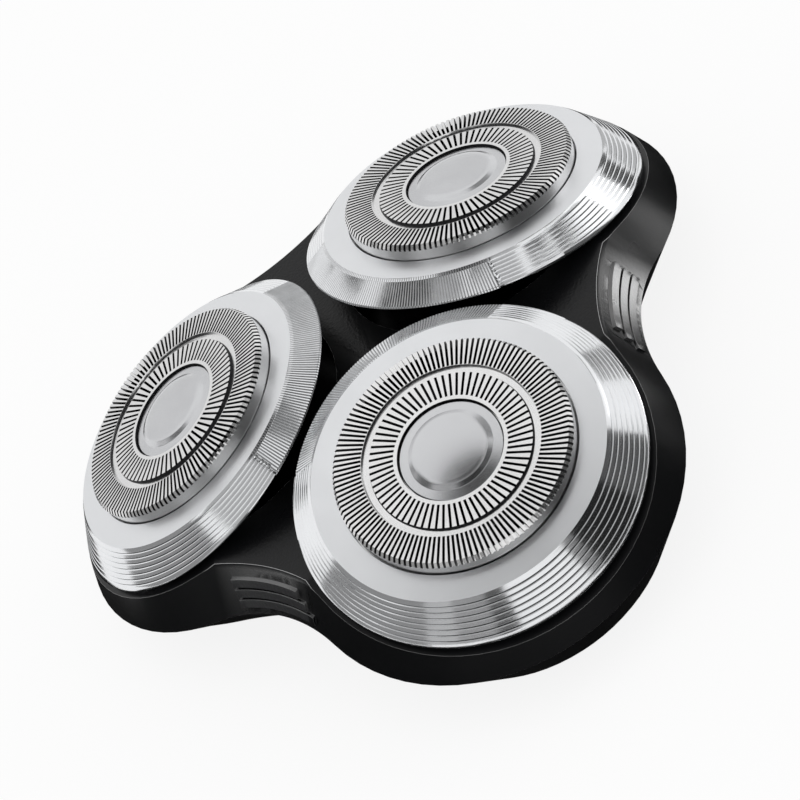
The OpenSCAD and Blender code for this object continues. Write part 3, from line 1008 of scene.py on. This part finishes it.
class SHAVER_OT_stage(bpy.types.Operator):
    """Lays the pale floor and sets the soft lights, the sky and the camera"""

    bl_idname = "shaver.stage"
    bl_label = "Stage"

    def execute(self, context):
        scene = context.scene
        sizes = scene.head_stage
        deselect_all()
        bpy.ops.mesh.primitive_plane_add(size=sizes.floor, location=(0, 0, CAD_BOX[0].z))
        floor = start_piece("floor")
        paper = Finish("floor_paper", Roughness=1.0, Specular_IOR_Level=0.0, Emission_Strength=1.0)
        paper.give("Base Color", sizes.paper[:])
        glow = Value(paper, seen_rays(paper.nodes, paper.links)) * sizes.glow
        paper.give("Emission Color", glow)
        floor.data.materials.append(paper.material)

        for name, azimuth, width, low, high, tone in CARDS:
            line = [sky_point(azimuth + width / 2, low + (high - low) * k / 8, sizes.card_distance)
                    for k in range(9)]
            swept_card(name, line, width, tone)
        for name, azimuth, width, inner, outer, lift, tone in FLOOR_CARDS:
            level = UP * (CAD_BOX[0].z + lift * MM)
            line = [sky_point(azimuth + width / 2, 0, reach * MM) + level for reach in (inner, outer)]
            swept_card(name, line, width, tone)

        world = bpy.data.worlds.new("sky")
        world.use_nodes = True
        scene.world = world
        nodes, links = world.node_tree.nodes, world.node_tree.links
        nodes["Background"].inputs["Color"].default_value = (1, 1, 1, 1)
        strength = nodes.new("ShaderNodeMapRange")
        strength.inputs["To Min"].default_value = sizes.sky
        strength.inputs["To Max"].default_value = 1.0
        links.new(seen_rays(nodes, links), strength.inputs["Value"])
        links.new(strength.outputs[0], nodes["Background"].inputs["Strength"])

        area_light("key", sky_point(95, 30, 0.5), (0, 0, 0.01), (0.15, 0.19), 0.035)

        lens = bpy.data.cameras.new("camera")
        lens.lens = sizes.lens
        lens.sensor_width = 36
        camera = bpy.data.objects.new("camera", lens)
        scene.collection.objects.link(camera)
        camera.location = (0.26486489, -0.00588712, 0.22762611)
        camera.rotation_euler = [math.radians(turn) for turn in (43.25576677, 28.9003567, 61.59948515)]
        scene.camera = camera
        scene.view_settings.view_transform = "Standard"
        return {"FINISHED"}


class SHAVER_PT_panel(bpy.types.Panel):
    """Lists the sizes and the pieces of the shaver head"""

    bl_idname = "SHAVER_PT_panel"
    bl_label = "Rotary Shaver Head"
    bl_space_type = "VIEW_3D"
    bl_region_type = "UI"
    bl_category = "Shaver Head"

    def draw(self, context):
        layout = self.layout
        for name, kind in SETTINGS.items():
            group = getattr(context.scene, name)
            box = layout.box()
            for field in kind.__annotations__:
                box.prop(group, field)
        for operator in OPERATORS:
            layout.operator(operator.bl_idname)


SETTINGS = {
    "head_bezel": BezelSizes,
    "head_cap": CapSizes,
    "head_housing": HousingSizes,
    "head_finishes": Finishes,
    "head_stage": StageSizes,
}
OPERATORS = (SHAVER_OT_bezels, SHAVER_OT_caps, SHAVER_OT_housing, SHAVER_OT_guards, SHAVER_OT_springs,
             SHAVER_OT_carried_over, SHAVER_OT_stage)


def register():
    for name, kind in SETTINGS.items():
        bpy.utils.register_class(kind)
        setattr(bpy.types.Scene, name, bpy.props.PointerProperty(type=kind))
    for kind in (*OPERATORS, SHAVER_PT_panel):
        bpy.utils.register_class(kind)


def unregister():
    for kind in (SHAVER_PT_panel, *reversed(OPERATORS)):
        bpy.utils.unregister_class(kind)
    for name, kind in reversed(SETTINGS.items()):
        delattr(bpy.types.Scene, name)
        bpy.utils.unregister_class(kind)


def main():
    register()
    bpy.ops.shaver.bezels()
    bpy.ops.shaver.caps()
    bpy.ops.shaver.housing()
    bpy.ops.shaver.guards()
    bpy.ops.shaver.springs()
    bpy.ops.shaver.carried_over()
    bpy.ops.shaver.stage()


if __name__ == "__main__":
    main()
